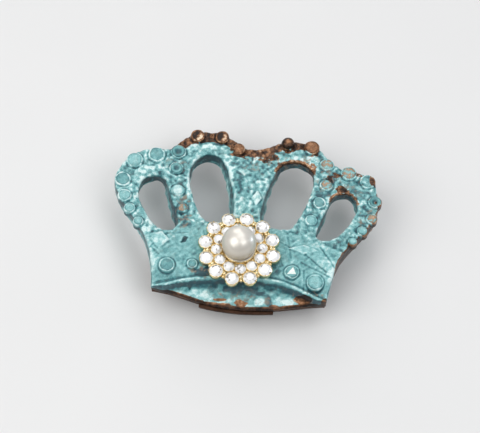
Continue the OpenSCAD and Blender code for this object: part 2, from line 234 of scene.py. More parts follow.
def flat_front(x, y):
    """Height of the front without its roughness: arms, convex band, ridge and scoop."""
    ridge, top = along(RIDGE, x), along(BAND_TOP, x)
    bulge = BAND_RISE * (1 - ((y - BAND_Y) / BAND_HALF) ** 2)
    on_band = step(0.6, -0.6, y - top)
    height = FRONT_Z + np.maximum(bulge, 0) * on_band
    # A raised bead along the ridge with a thin groove above it
    from_ridge = y - ridge
    height = height + 0.38 * np.exp(-(((from_ridge - 0.35) / 0.4) ** 2))
    height = height - 0.3 * np.exp(-(((from_ridge - 1.1) / 0.28) ** 2))
    # The band's lower corners fall away towards the lip
    height = height - 1.6 * step(-13, -18, y) * step(8, 19, np.abs(x))
    # The scoop falls steeply under the ridge and flattens out towards the lip
    lip_y = along(LIP, x)
    share = np.clip((ridge - y) / np.maximum(ridge - lip_y, 0.8), 0, 1.3)
    floor = BACK_Z + np.interp(share, [0, 0.1, 0.25, 0.5, 0.8, 1, 1.3], [4.4, 3.3, 2.4, 1.75, 1.35, 1.1, 1])
    return np.where(y < ridge, np.minimum(floor, height), height)


def front_at(x, y):
    """Height of the smooth front at one point."""
    return float(flat_front(np.array([x]), np.array([y]))[0])


def ring_base(x, y):
    """Height of a ring's foot."""
    return front_at(x, y) + (TOP_RINGS_RISE if y > TOP_RINGS_Y else 0)


def on_plate(x, y, plate):
    """1 on a flat kite and 0 off it."""
    return step(0.12, -0.12, np.abs(x - plate[0]) / plate[2] + np.abs(y - plate[1]) / plate[3] - 1)


def rough_front(x, y):
    """Height of the front with its facets, pits and brushed paint."""
    ridge, top = along(RIDGE, x), along(BAND_TOP, x)
    band = step(0.5, -0.5, y - top)
    scoop = step(0.2, -0.2, y - ridge)
    arms = 1 - band
    rough = 0.17 * noise(x, y, 0, 1.5, 1) + 0.15 * noise(x, y, 0, 0.7, 2)
    rough = rough + 0.05 * noise(x, y, 0, 0.45, 4)
    hammered = facets(x, y, 1.5, 3, 0.1, 0.22) + 0.1
    planes = facets(x, y, 3.6, 5, 0.05, 0.1)
    for *segment, deep in CREASES:
        away = np.hypot(*from_segment(x, y, *segment))
        planes = planes - deep * np.exp(-((away / CREASE_WIDTH) ** 2))
    strokes = 0.07 * noise(0.35 * (x + y), x - y, 0, 0.7, 6)
    relief = arms * (rough + hammered) + band * (1 - scoop) * (planes + 0.3 * rough + strokes)
    relief = relief + scoop * (0.4 * rough + strokes)
    for plate in PLATES:
        rise, slope = plate[4:]
        relief = relief + on_plate(x, y, plate) * (rise + slope * (x - plate[0]) - relief)
    return flat_front(x, y) + relief


def ring_frame(x, y, spot):
    """Distance from a ring's centre, with its edge a little uneven."""
    return np.hypot(x - spot[0], y - spot[1]) + 0.06 * noise(x, y, 0, 0.9, 11)


def opening_walls(x, y, voxel):
    """For each opening: distance to its edge, its walls' lean, its top wall's depth and undercut."""
    walls = []
    for points, lean, top_depth in OPENINGS:
        d = outline_distance(spline(points, True), x, y)
        gx, gy = np.gradient(d, voxel)
        inward = gx * (1 if np.mean([p[0] for p in points]) < 0 else -1)
        # The wall leans less near its top
        leaning = lean * step(0.25, 0.85, inward) * (1 - 0.55 * step(2, 9, y))
        walls.append((d, leaning, top_depth, 0.75 * step(0.3, 0.8, gy)))
    return walls


def build_field(voxel):
    """Signed distance to the casting on a grid, negative in the metal, with the grid's first corner."""
    xs = np.arange(-31.6, 31.6, voxel)
    ys = np.arange(-23, 25, voxel)
    zs = np.arange(BACK_Z - 0.8, FRONT_Z + 2.4, voxel)
    x2, y2 = np.meshgrid(xs, ys, indexing="ij")
    edge = outline_distance(OUTLINE, x2, y2)
    holes = opening_walls(x2, y2, voxel)

    # A thin groove runs round each ring
    height = rough_front(x2, y2)
    for spot in ALL_RINGS:
        r = ring_frame(x2, y2, spot)
        height = height - 0.2 * np.exp(-(((r - spot[2] / 2 - 0.18) / 0.2) ** 2))
    gx, gy = np.gradient(height, voxel)
    flatness = 1 / np.sqrt(1 + np.minimum(gx**2 + gy**2, 4))

    x3, y3, z3 = x2[:, :, None], y2[:, :, None], zs[None, None, :]
    depth = np.clip(FRONT_Z - z3, 0, SHELL_DEPTH)
    body = (z3 - height[:, :, None]) * flatness[:, :, None]
    # The crown's top edge rolls over; its other edges are tighter
    roll = 0.7 + 0.5 * step(13, 19, y2)
    body = smooth_max(body, edge[:, :, None], roll[:, :, None])
    for d, lean, top_depth, undercut in holes:
        ripple = 0.35 * noise(x3, y3, 0, 2.1, 21) * step(0.5, 4, depth)
        hidden = undercut[:, :, None] * np.maximum(depth - top_depth, 0)
        wall = d[:, :, None] + lean[:, :, None] * depth - hidden + ripple
        body = smooth_max(body, -wall, 0.55)
    body = smooth_max(body, BACK_Z - z3, 0.35)
    body = body + SHRINK + 0.08 * noise(x3, y3, z3, 0.8, 23) + 0.06 * noise(x3, y3, z3, 2.2, 24)

    # Hollow back, above the ridge
    inner = edge + SIDE_WALL
    for d, lean, top_depth, undercut in holes:
        inner = np.maximum(inner, SIDE_WALL + 0.3 - d + 0.6 * lean * SHELL_DEPTH + undercut)
    inner = np.maximum(inner, along(RIDGE, x2) + 1.2 - y2)
    ceiling = np.minimum(FRONT_Z, flat_front(x2, y2)) - FRONT_WALL
    hollow = smooth_max(inner[:, :, None], z3 - ceiling[:, :, None], 0.8)
    body = smooth_max(body, -hollow, 0.4)

    for spot in ALL_RINGS:
        add_ring(body, spot, xs, ys, zs)
    return body, (xs[0], ys[0], zs[0])


def add_ring(body, spot, xs, ys, zs):
    """Welds a stone's ring onto the field, in place, and cuts its cup."""
    base = ring_base(*spot[:2])
    radius = spot[2] / 2 - 0.03
    reach = radius + 1
    i = slice(*np.searchsorted(xs, [spot[0] - reach, spot[0] + reach]))
    j = slice(*np.searchsorted(ys, [spot[1] - reach, spot[1] + reach]))
    x, y, z = xs[i, None, None], ys[None, j, None], zs[None, None, :]
    r = ring_frame(x, y, spot)
    uneven = 0.1 * noise(x, y, 0, 1.1, 31)
    column = smooth_max(r - radius, z - (base + RING_RISE + uneven), 0.3)
    column = smooth_max(column, base - 2.3 + 0.2 * uneven - z, 0.5)
    joined = smooth_min(body[i, j], column, 0.3)
    wall = RING_WALL * (1 + 0.45 * noise(x, y, 0, 0.8, 32))
    cup = np.maximum(r - (radius - wall), base + 0.05 - z)
    body[i, j] = smooth_max(joined, -cup, 0.14)


# ------------ meshes


def add_object(name, data):
    ob = bpy.data.objects.new(name, data)
    bpy.context.scene.collection.objects.link(ob)
    return ob


def put_mesh(name, verts, faces, slot, material, replaces=(), body="crown", smooth=True):
    """Makes a piece from points in millimetres, and rides it on its CAD body if it has one."""
    verts = np.array(verts, float) - [0, CENTRE_Y, 0]
    mesh = bpy.data.meshes.new(name)
    mesh.from_pydata((verts * MM).tolist(), [], [list(map(int, f)) for f in faces])
    mesh.validate()
    face_outwards(mesh)
    mesh.polygons.foreach_set("use_smooth", [smooth] * len(mesh.polygons))
    ob = add_object(name, mesh)
    mesh.materials.append(material)
    if body:
        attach(ob, body)
    if replaces:
        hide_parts(*replaces)
    return ob


def face_outwards(mesh):
    work = bmesh.new()
    work.from_mesh(mesh)
    bmesh.ops.recalc_face_normals(work, faces=work.faces)
    work.to_mesh(mesh)
    work.free()


def neighbour_mean(verts, edges):
    """Mean position of each vertex's neighbours."""
    a, b = edges[:, 0], edges[:, 1]
    ends, others = np.concatenate([a, b]), np.concatenate([b, a])
    count = np.maximum(np.bincount(ends, minlength=len(verts)), 1)[:, None]
    columns = [np.bincount(ends, verts[others, k], len(verts)) for k in range(3)]
    return np.stack(columns, 1) / count


def recess_of(mesh, rounds):
    """Vertices in mm, normals, and how far each lies below the surface smoothed for each count of rounds."""
    n = len(mesh.vertices)
    verts, normals = np.zeros(n * 3), np.zeros(n * 3)
    mesh.vertices.foreach_get("co", verts)
    mesh.vertices.foreach_get("normal", normals)
    verts, normals = verts.reshape(-1, 3) / MM, normals.reshape(-1, 3)
    edges = np.zeros(len(mesh.edges) * 2, np.int64)
    mesh.edges.foreach_get("vertices", edges)
    edges = edges.reshape(-1, 2)
    smoothed, found = verts.copy(), []
    for i in range(1, max(rounds) + 1):
        smoothed = neighbour_mean(smoothed, edges)
        if i in rounds:
            found.append(((smoothed - verts) * normals).sum(1))
    return verts, normals, found


def set_attributes(mesh, **values):
    """Gives each vertex the numbers that its material reads by name."""
    for name, numbers in values.items():
        attribute = mesh.attributes.new(name, "FLOAT", "POINT")
        attribute.data.foreach_set("value", np.asarray(numbers, np.float32))


# ------------ materials


# A Mix node's colour sockets, by number: its sockets for other kinds of value have the same names
MIX_COLOURS, MIX_RESULT = (6, 7), 2


class Shader:
    """A material and short ways to add nodes to it."""

    def __init__(self, name):
        self.material = bpy.data.materials.new(name)
        self.material.use_nodes = True
        self.tree = self.material.node_tree
        self.surface = self.tree.nodes["Principled BSDF"]
        self.place = self.add("ShaderNodeTexCoord").outputs["Object"]

    def plug(self, value, socket):
        """Links a node's output to a socket, or sets a plain value on it."""
        if isinstance(value, bpy.types.NodeSocket):
            self.tree.links.new(value, socket)
        else:
            socket.default_value = value

    def add(self, kind, inputs=(), **settings):
        """New node with its settings, and its inputs by name or number."""
        node = self.tree.nodes.new(kind)
        for key, value in settings.items():
            setattr(node, key, value)
        for key, value in dict(inputs).items():
            self.plug(value, node.inputs[key])
        return node

    def noise(self, per_mm, detail, rough=0.55, warp=0.0):
        """Noise from 0 to 1 with this many bumps in a millimetre."""
        return self.add("ShaderNodeTexNoise", {
            "Vector": self.place, "Scale": per_mm / MM, "Detail": detail, "Roughness": rough,
            "Distortion": warp}).outputs["Fac"]

    def value(self, name):
        """A number that the mesh holds for each vertex or face."""
        return self.add("ShaderNodeAttribute", attribute_name=name).outputs["Fac"]

    def math(self, operation, a, b):
        return self.add("ShaderNodeMath", {0: a, 1: b}, operation=operation).outputs[0]

    def sum(self, first, *terms):
        """first + weight * (value - middle) for each (value, weight, middle)."""
        total = first
        for value, weight, middle in terms:
            part = self.math("MULTIPLY", self.math("SUBTRACT", value, middle), weight)
            total = self.math("ADD", total, part)
        return total

    def ramp(self, value, stops):
        """Colour that follows a value through (place, colour) stops."""
        node = self.add("ShaderNodeValToRGB", {"Fac": value})
        elements = node.color_ramp.elements
        while len(elements) < len(stops):
            elements.new(0.5)
        for element, (place, colour) in zip(elements, stops):
            element.position = place
            element.color = (*colour, 1)
        return node.outputs["Color"]

    def span(self, value, low, high, to_low=0.0, to_high=1.0):
        """A value's place between low and high, as to_low to to_high."""
        return self.add("ShaderNodeMapRange", {
            "Value": value, "From Min": low, "From Max": high,
            "To Min": to_low, "To Max": to_high}).outputs["Result"]

    def mix(self, factor, *colours):
        """The first colour where factor is 0 and the second where it is 1."""
        inputs = {0: factor}
        for key, colour in zip(MIX_COLOURS, colours):
            inputs[key] = colour if isinstance(colour, bpy.types.NodeSocket) else (*colour, 1)
        return self.add("ShaderNodeMix", inputs, data_type="RGBA").outputs[MIX_RESULT]

    def bump(self, height, distance_mm, strength):
        node = self.add("ShaderNodeBump", {
            "Height": height, "Distance": distance_mm * MM, "Strength": strength})
        self.set(Normal=node.outputs["Normal"])

    def set(self, **inputs):
        """Sets the surface's inputs and returns the material."""
        for key, value in inputs.items():
            self.plug(value, self.surface.inputs[key.replace("_", " ")])
        return self.material


def verdigris():
    """Turquoise paint, pale where proud and dark in the hollows, worn to copper where bare is high. Its
    darkness also carries painted shade and a painted shadow, and shine carries painted highlights and painted
    shade on the bare metal.
    """
    s = Shader("verdigris_paint")
    broad, middle, fine = s.noise(0.25, 3), s.noise(1.1, 4, 0.6, 0.6), s.noise(4.5, 3, 0.6)
    # The darkness read here is the paint's own tone together with painted shade and a painted shadow
    recess = s.value("recess")
    lively = s.sum(1.0, (s.value("calm"), -0.35, 0.0))
    mottle = s.sum(0.0, (middle, 0.8, 0.5), (fine, 0.7, 0.5))
    tone = s.sum(recess, (broad, 0.35, 0.5), (s.math("MULTIPLY", mottle, lively), 1.0, 0.0))
    paint = s.ramp(tone, [
        (0.06, (0.74, 0.92, 0.91)), (0.26, (0.29, 0.60, 0.61)), (0.48, (0.115, 0.35, 0.365)),
        (0.68, (0.034, 0.16, 0.185)), (0.9, (0.008, 0.06, 0.08))])
    # Rust shows through in places
    speckle = s.span(s.noise(0.75, 4, 0.6, 0.4), 0.52, 0.64)
    rust = s.math("MULTIPLY", speckle, s.sum(0.12, (s.value("rust"), 0.85, 0.0)))
    paint = s.mix(rust, paint, (0.27, 0.20, 0.14))
    blotch = s.math("MULTIPLY", s.sum(0.0, (middle, 1.1, 0.5), (fine, 0.7, 0.5)), lively)
    metal_tone = s.sum(0.38, (blotch, 1.35, 0.0), (recess, -0.8, 0.44), (s.value("shine"), 0.6, 0.0))
    metal = s.ramp(metal_tone, [
        (0.1, (0.014, 0.008, 0.006)), (0.4, (0.11, 0.05, 0.024)), (0.7, (0.37, 0.175, 0.08)),
        (1.0, (0.80, 0.68, 0.50))])
    bare = s.span(s.sum(s.value("bare"), (middle, 0.7, 0.5), (fine, 0.35, 0.5)), 0.46, 0.56)
    s.bump(s.sum(0.0, (fine, 0.6, 0.5), (s.noise(11, 2), 0.35, 0.5)), 0.09, 0.8)
    return s.set(
        Base_Color=s.mix(bare, paint, metal), Metallic=s.span(bare, 0, 1, 0.0, 0.6),
        Roughness=s.span(fine, 0.3, 0.7, 0.28, 0.5), Specular_IOR_Level=0.6,
        Coat_Weight=0.12, Coat_Roughness=0.2)


def metal(name, colour, dark, rough, per_mm, scratch=0.0):
    """Bare metal, darker in patches."""
    s = Shader(name)
    broad, fine = s.noise(0.3, 4), s.noise(per_mm, 4, 0.65)
    tone = s.sum(0.5, (broad, 0.7, 0.5), (fine, 0.5, 0.5))
    s.bump(fine, 0.02, 0.35 + scratch)
    return s.set(Base_Color=s.ramp(tone, [(0.25, dark), (0.75, colour)]), Metallic=1.0,
                 Roughness=s.span(fine, 0.3, 0.7, rough * 0.7, rough * 1.3))


def pearl_coat():
    """Nacre, with painted shade: greyer where low is high."""
    s = Shader("pearl_nacre")
    broad, fine = s.noise(0.12, 2), s.noise(6, 3)
    tone = s.sum(s.value("low"), (broad, 0.3, 0.5))
    s.bump(fine, 0.006, 0.2)
    return s.set(Base_Color=s.ramp(tone, [(0.1, (0.84, 0.80, 0.73)), (0.7, (0.50, 0.45, 0.36))]),
                 Metallic=0.35, Roughness=s.span(fine, 0.3, 0.7, 0.34, 0.42), Specular_IOR_Level=0.7,
                 Coat_Weight=0.5, Coat_Roughness=0.16, Sheen_Weight=0.1, Sheen_Roughness=0.4)


def bare_glass():
    s = Shader("bare_stone_face")
    fine = s.noise(2.5, 3)
    return s.set(Base_Color=s.ramp(fine, [(0.35, (0.66, 0.86, 0.82)), (0.55, (0.93, 0.97, 0.93))]),
                 Roughness=s.span(fine, 0.3, 0.7, 0.12, 0.25), Coat_Weight=0.5, Coat_Roughness=0.05)


def adhesive():
    s = Shader("cured_adhesive")
    fine = s.noise(1.2, 3)
    s.bump(fine, 0.08, 0.6)
    return s.set(Base_Color=s.ramp(fine, [(0.3, (0.16, 0.33, 0.33)), (0.7, (0.42, 0.60, 0.58))]),
                 Roughness=s.span(fine, 0.3, 0.7, 0.12, 0.22), Coat_Weight=0.6, Coat_Roughness=0.05)


def cut_stone():
    """Foil-backed cut glass: each facet's colour is a painted reflection, as bright as the light that it
    throws back.
    """
    s = Shader("cut_stone")
    flash = s.value("flash")
    fine = s.noise(3.5, 2)
    tone = s.sum(flash, (fine, 0.35, 0.5))
    colour = s.ramp(tone, [(0.0, (0.10, 0.085, 0.06)), (0.14, (0.42, 0.38, 0.33)),
                           (0.3, (0.80, 0.79, 0.78)), (0.55, (0.97, 0.97, 0.98)), (1, (1, 1, 1))])
    return s.set(Base_Color=colour, Metallic=0.0, Roughness=s.span(fine, 0.3, 0.7, 0.04, 0.09),
                 Specular_IOR_Level=0.9, Coat_Weight=1.0, Coat_Roughness=0.02)


def plain_floor():
    s = Shader("floor_paper")
    return s.set(Base_Color=s.mix(s.noise(0.02, 2), (0.78, 0.78, 0.78), (0.81, 0.81, 0.81)), Roughness=0.9,
                 Specular_IOR_Level=0.2)


# ------------ build: casting

PAINT = verdigris()
PAINT_TONE = 0.44


def make_casting():
    """The casting's skin, meshed from its field, with the numbers that its paint follows."""
    voxel = 0.2
    field, corner = build_field(voxel)
    grid = openvdb.FloatGrid(3 * voxel)
    grid.copyFromArray(np.ascontiguousarray(field, dtype=np.float32))
    grid.transform = openvdb.createLinearTransform(voxelSize=voxel)
    points, triangles, quads = grid.convertToPolygons(0.0, 0.0)
    points = points + np.array(corner)
    faces = [q[::-1] for q in quads] + [t[::-1] for t in triangles]
    ob = put_mesh("crown_shell", points, faces, "verdigris_paint", PAINT, ["crown_casting"])
    mesh = ob.data
    verts, normals, (small, medium, large) = recess_of(mesh, (2, 8, 40))
    verts = verts + [0, CENTRE_Y, 0]
    x, y, z = verts.T
    tone = tone_of(x, y, z, normals, small, medium, large)
    set_attributes(
        mesh, recess=np.clip(PAINT_TONE + tone, 0.05, 1), bare=bare_of(x, y, z, normals),
        calm=step(0.5, -0.5, y - along(BAND_TOP, x)), shine=shine_of(x, y, z), rust=rust_of(x, y))


# Places where the paint is darker (above 0) or paler (below 0): x, y, half width, half height, change. The
# dark one at (-8.7, -14.1) is the button's painted shadow on the band.
PATCHES = [
    (-12.2, -17.6, 3.6, 1.3, -0.18), (-7.7, -18.4, 3, 1, -0.12), (-11.2, -16.9, 0.4, 0.6, 0.5),
    (0.4, -16.2, 6, 1.6, 0.25), (4.5, -18.9, 1.2, 1.2, -0.25), (6.8, -18.6, 0.7, 1.3, 0.35),
    (5.2, -17, 1.6, 0.5, 0.25), (10.8, -18.1, 2.2, 0.9, -0.22), (-16, -17.3, 1.6, 0.6, -0.2),
    (-3.4, -17.6, 2.2, 0.5, -0.1), (3, 11.2, 1.5, 1.5, -0.12), (-2, 15.4, 2.6, 1, 0.15),
    (-14.9, 2.5, 2, 2.2, 0.22), (-14.2, -0.6, 1.6, 1.4, 0.2), (19.1, 13.3, 1, 1.8, 0.3),
    (-8.7, -14.1, 1.9, 1.3, 0.5), (-13.6, -6.3, 0.5, 0.9, 0.6), (-18.4, -6.4, 2.6, 2, -0.12),
    (15.3, -4.6, 3.6, 1.1, -0.12), (18.2, -8.6, 1.7, 1.7, -0.15), (-17, 12.2, 1.7, 1.2, 0.3),
    (7.2, -10.5, 1.6, 3.4, 0.22), (-20.4, -12, 1, 3, -0.15), (20.4, -11, 1, 3, -0.2),
    (-13.6, 8.8, 0.9, 3.2, -0.25), (13.6, 1.2, 1.2, 2.2, -0.2), (-21.5, 12.6, 2.6, 1, -0.3),
    (-15.8, 9.8, 1.7, 1.1, 0.18), (4, 15.8, 2, 2.2, 0.18), (0.4, 17.2, 0.35, 0.7, 0.8),
    (-4.5, 12, 0.9, 3, -0.25), (-9.5, 19.6, 2.8, 0.8, -0.3), (17.2, 9.2, 1.5, 1, 0.2),
    (26.5, 10.5, 1.2, 2.2, 0.15), (-25, 12, 1.2, 1.4, -0.25), (14.6, 17.8, 1.8, 1.6, -0.3)]


def oval(x, y, cx, cy, rx, ry):
    """1 inside an uneven oval, falling to 0 at its edge."""
    away = np.hypot((x - cx) / rx, (y - cy) / ry) + 0.25 * noise(x, y, 0, 0.9, 71)
    away = away + 0.35 * noise(0.5 * x, y, 0, 0.55, 76)
    return step(1.1, 0.7, away)


def tone_of(x, y, z, normals, small, medium, large):
    """How dark the paint is: hollows, painted shade on walls, undersides and under the ridge, and listed
    patches, one of them a painted shadow.
    """
    hollow, proud = np.maximum(medium, 0), 0.55 * np.minimum(medium, 0)
    tone = 2.2 * small + 1.35 * hollow + 1.35 * proud + 0.25 * large
    # Painted shade on walls: dark near the front, under the front's overhang, paler further down, and darker
    # where they face -Y
    wall = step(0.75, 0.35, np.abs(normals[:, 2])) * step(0, 1.2, FRONT_Z - z)
    low = step(1.2, 4.0, FRONT_Z - z)
    tone = tone + wall * (0.34 - 0.36 * low + (0.26 - 0.1 * low) * step(0.2, 0.8, -normals[:, 1]))
    # Painted shade on faces that point down
    tone = tone + 0.35 * step(-0.3, -0.8, normals[:, 2])
    # Painted shade under the ridge
    from_ridge = y - along(RIDGE, x)
    tone = tone + 0.12 * step(-3.0, -0.4, from_ridge) * step(0.2, -0.4, from_ridge)
    arms = step(-0.5, 0.5, y - along(BAND_TOP, x))
    tone = tone + arms * (0.14 * noise(x, y, 0, 2.6, 72) + 0.27 * noise(x, y, z, 0.75, 74))
    scoop = step(-0.5, -1.5, from_ridge)
    sides = step(5, 9, np.abs(x))
    tone = tone - scoop * (0.6 * hollow + 0.1 * sides)
    tone = tone + scoop * (0.2 * noise(0.35 * x, y, 0, 0.6, 73) + 0.12 * noise(0.6 * x, y, 0, 1.6, 75))
    for *spot, change in PATCHES:
        tone = tone + change * oval(x, y, *spot)
    for plate in PLATES:
        pale = -0.24 if plate[1] > 0 else -0.1
        tone = tone + pale * on_plate(x, y, plate)
    return tone


def shine_of(x, y, z):
    """How bright bare metal is: painted shade on the lip, bright in the scoop, and in two empty seats a
    painted crescent highlight on one side and painted shade on the other.
    """
    edge = outline_distance(OUTLINE, x, y)
    # Painted shade on the lip's low face
    lip = step(-1.3, -0.4, edge) * step(-15.5, -17, y) * step(BACK_Z + 1.7, BACK_Z + 1.0, z)
    scoop = step(0, -1, y - along(RIDGE, x)) * (1 - lip)
    shine = 0.35 * scoop - 0.42 * lip
    # A painted crescent highlight on one side of each seat and painted shade on the other
    for cx, cy, size in EMPTY_RINGS[:2]:
        r = np.hypot(x - cx, y - cy) / (size / 2 - RING_WALL)
        side = np.cos(np.arctan2(y - cy, x - cx) + 0.3)
        shine = shine + step(0.25, 0.45, r) * step(1.0, 0.8, r) * step(0.1, 0.5, side)
        shine = shine - 0.6 * step(1.0, 0.8, r) * step(0.2, -0.3, side)
    return shine


# Places where rust shows through the paint: x, y, half width, half height, how much
RUSTY = [
    (-14.6, 1.2, 2.4, 4.5, 0.8), (17.5, 13.5, 3.5, 4.5, 0.7), (13.5, 17.2, 4, 2, 0.7),
    (5, 16.5, 6, 3, 0.6), (23, 12.4, 4, 3, 0.6), (28.5, 1, 2.5, 7, 0.7), (-17.4, 15.2, 2.5, 3, 0.45),
    (-8.8, -13.6, 3, 2, 0.8), (0, -18.6, 8, 1.4, 0.7), (-3, 17, 3, 1.6, 0.5), (-16, -4.2, 3, 1, 0.3),
    (15, -17.2, 5, 1.2, 0.7)]


def rust_of(x, y):
    """How much rust shows through the paint."""
    return np.maximum.reduce([amount * oval(x, y, *spot) for *spot, amount in RUSTY])


# Places worn to bare metal: x, y, half width, half height, how bare
WORN = [
    (21.8, 11.1, 1.7, 1.1, 0.85), (-14.8, 2.6, 1, 1.3, 0.6), (-3, 19.5, 2.6, 2.4, 0.95),
    (18.6, 13, 1, 1.8, 0.62), (-22.4, 15.8, 1.3, 0.9, 0.6), (8.4, 22, 2.3, 2, 0.95),
    (14.1, 21.6, 2.1, 1.9, 0.95), (-12.9, 22.1, 2.6, 2.2, 1), (-7.1, 22.4, 2.4, 2, 1),
    (28.7, 13.9, 1.2, 1.6, 0.9), (30.4, 8.1, 0.8, 1.5, 0.8), (4.4, 17.6, 2.8, 1.6, 0.62),
    (14.7, 16, 1, 2, 0.62), (20.3, 14.4, 1.6, 0.9, 0.55), (25.2, 15.4, 1, 0.9, 0.6),
    (0.5, -19.4, 2, 0.9, 0.9), (-4, -19, 2.2, 0.45, 0.75), (14.7, -17.6, 2.3, 0.9, 0.8),
    (-5.4, -20, 3.4, 0.5, 0.8), (8, -19.6, 1.2, 0.5, 0.7), (-17.5, 18.2, 1.4, 0.8, 0.6),
    (19.4, -18, 0.8, 1, 0.8), (29.6, 3, 0.9, 1.2, 0.7), (27.7, -0.4, 0.8, 1.2, 0.7),
    (24.8, -4, 1.3, 1.3, 0.6), (-16.3, 20, 1.6, 1, 0.8)]


def bare_of(x, y, z, normals):
    """How worn to bare metal: the crown's top and right edges, the lip, the valley, rims and WORN."""
    edge = outline_distance(OUTLINE, x, y)
    top = step(-3.4, -1.7, edge) * step(17, 19.5, y) * step(-18.5, -16, x) * step(17, 14.5, x)
    right = step(-0.9, -0.2, edge) * step(0.3, 0.6, normals[:, 0]) * step(20, 22, x) * step(13, 9, y)
    lip = step(-1.0, -0.35, edge) * step(-16.4, -17.4, y) * step(BACK_Z + 1.9, BACK_Z + 1.1, z)
    valley = 0.8 * step(-4, -1.5, edge) * step(16.5, 18, y) * step(7, 4, np.abs(x - 1))
    bare = np.maximum.reduce([0.95 * top, 0.9 * right, lip, valley])
    for points, amount in ((RIGHT_BIG, 0.68), (RIGHT_SMALL, 0.6)):
        rim = step(1.2, 0.4, outline_distance(spline(points, True), x, y))
        high = max(v for _, v in points)
        upper = step(high - 5, high - 2, y) * step(FRONT_Z - 1.4, FRONT_Z - 0.6, z)
        bare = np.maximum(bare, amount * rim * upper)
    for *spot, amount in WORN:
        bare = np.maximum(bare, amount * oval(x, y, *spot))
    return bare


# ------------ shapes in polar form


def lathe(profile, sides, centre):
    """Surface of revolution of (radius, z) points; a radius of 0 is one point."""
    verts, faces, rows = [], [], []
    turns = [2 * pi * k / sides for k in range(sides)]
    for r, z in profile:
        first = len(verts)
        for a in turns if r > 0 else [0]:
            verts.append((centre[0] + r * cos(a), centre[1] + r * sin(a), z))
        rows.append(range(first, len(verts)))
    for a, b in zip(rows, rows[1:]):
        for k in range(sides):
            ring = [a[k % len(a)], a[(k + 1) % len(a)], b[(k + 1) % len(b)], b[k % len(b)]]
            face = list(dict.fromkeys(ring))
            if len(face) > 2:
                faces.append(face)
    return verts, faces


def ball(radius, centre, z, sides, stretch=1.0):
    """Ball with its middle at height z, stretched upwards."""
    bands, profile = 8, []
    for i in range(bands + 1):
        a = pi * i / bands
        r = radius * sin(a) if 0 < i < bands else 0
        profile.append((r, z - stretch * radius * cos(a)))
    return lathe(profile, sides, centre)


def joined(parts):
    """The vertices and faces of several meshes as one."""
    verts, faces = [], []
    for v, f in parts:
        faces += [[i + len(verts) for i in face] for face in f]
        verts += list(v)
    return verts, faces


def tube_faces(rows, sides):
    """Faces between rows of vertices, with both ends closed."""
    faces = []
    for row in range(rows - 1):
        low, high = row * sides, (row + 1) * sides
        for k in range(sides):
            n = (k + 1) % sides
            faces.append((low + k, low + n, high + n, high + k))
    faces.append(tuple(range(sides - 1, -1, -1)))
    faces.append(tuple((rows - 1) * sides + k for k in range(sides)))
    return faces


def on_ring(radius, turn, i):
    """Place of the i-th of the button's stones on a ring."""
    a = radians(turn + i * 360 / STONES)
    return BUTTON_X + radius * cos(a), BUTTON_Y + radius * sin(a)


# ------------ build: painted stones of the casting

# What each kind of stone looks like: height at its middle and its edge, paint tone (0 pale, 1 dark), bareness
STONE_KINDS = {
    "dome": (0.8, 0.25, 0.3, 0.0), "flat": (0.42, 0.3, 0.3, 0.0), "dull": (0.3, 0.22, 0.5, 0.1),
    "pale": (0.5, 0.42, 0.16, 0.0), "cup": (0.05, 0.42, 0.42, 0.12), "worn": (0.36, 0.28, 0.4, 0.5),
    "bare": (0.42, 0.3, 0.5, 1.0), "ball": (1.25, 0.1, 0.5, 1.0), "white": (0.32, 0.25, 0.42, 0.0),
    "cut": (0.5, 0.15, 0.34, 0.0)}


def stone_height(kind, share, angle, x, y):
    """Height of a stone above its ring's foot at a share of its radius."""
    top, rim = STONE_KINDS[kind][:2]
    if kind in ("dome", "ball"):
        shape = rim + (top - rim) * np.sqrt(np.clip(1 - share**2, 0, 1))
    elif kind == "cup":
        shape = top + (rim - top) * step(0.15, 0.8, share)
    elif kind == "cut":
        corner = share * np.cos((angle + 0.4) % (pi / 2) - pi / 4)
        shape = np.minimum(top, rim + (top - rim) * (1 - corner) / 0.45)
    else:
        shape = rim + (top - rim) * (1 - share**2)
    tilt = 0.3 * (chance(int(x[0] * 9), int(y[0] * 9), 5, SEED) - 0.5)
    lean = 0.22 if kind == "pale" else tilt
    edge = -0.2 * share**12 if kind not in ("ball", "cut") else 0
    return shape + edge + lean * share * np.cos(angle - 2.2) + 0.05 * noise(x, y, 0, 0.6, 41)


def make_painted_stone(i, spot):
    """One of the casting's stones, painted over with the casting."""
    x0, y0, ring, kind = spot
    radius = ring / 2 - (0.06 if kind == "ball" else 0.2)
    base = ring_base(x0, y0)
    rings, sides = 8, 32
    share = np.concatenate([[0], np.repeat(np.arange(1, rings + 1) / rings, sides)])
    angle = np.concatenate([[0], np.tile(np.arange(sides) * 2 * pi / sides, rings)])
    x, y = x0 + radius * share * np.cos(angle), y0 + radius * share * np.sin(angle)
    z = base + stone_height(kind, share, angle, x, y)
    top = list(zip(x, y, z))
    foot = [(a, b, base - 0.12) for a, b in zip(x[-sides:], y[-sides:])]
    faces = [(0, 1 + k, 1 + (k + 1) % sides) for k in range(sides)]
    for row in range(rings):
        lower = 1 + row * sides
        for k in range(sides):
            n = (k + 1) % sides
            faces.append((lower + k, lower + sides + k, lower + sides + n, lower + n))
    verts = top + foot
    faces.append(tuple(len(verts) - 1 - k for k in range(sides)))
    name = f"frame_stone_{i + 1:02d}"
    ob = put_mesh(f"painted_{name}", verts, faces, "painted_stone", PAINT, [name])
    tone, bareness = STONE_KINDS[kind][2:]
    share = np.concatenate([share, np.ones(sides)])
    dark_middle = 0.4 * step(0.7, 0.2, share) if kind == "cup" else 0
    # On the ball, shine is a painted highlight at its top
    bright_top = 0.75 * step(0.75, 0.1, share) - 0.1 if kind == "ball" else np.full(len(verts), 0.4)
    set_attributes(
        ob.data, recess=np.clip(tone + 0.3 * share**8 + dark_middle, 0, 1),
        bare=np.full(len(verts), bareness), calm=np.ones(len(verts)), shine=bright_top)
    if kind == "white":
        make_chip(x0, y0, base)


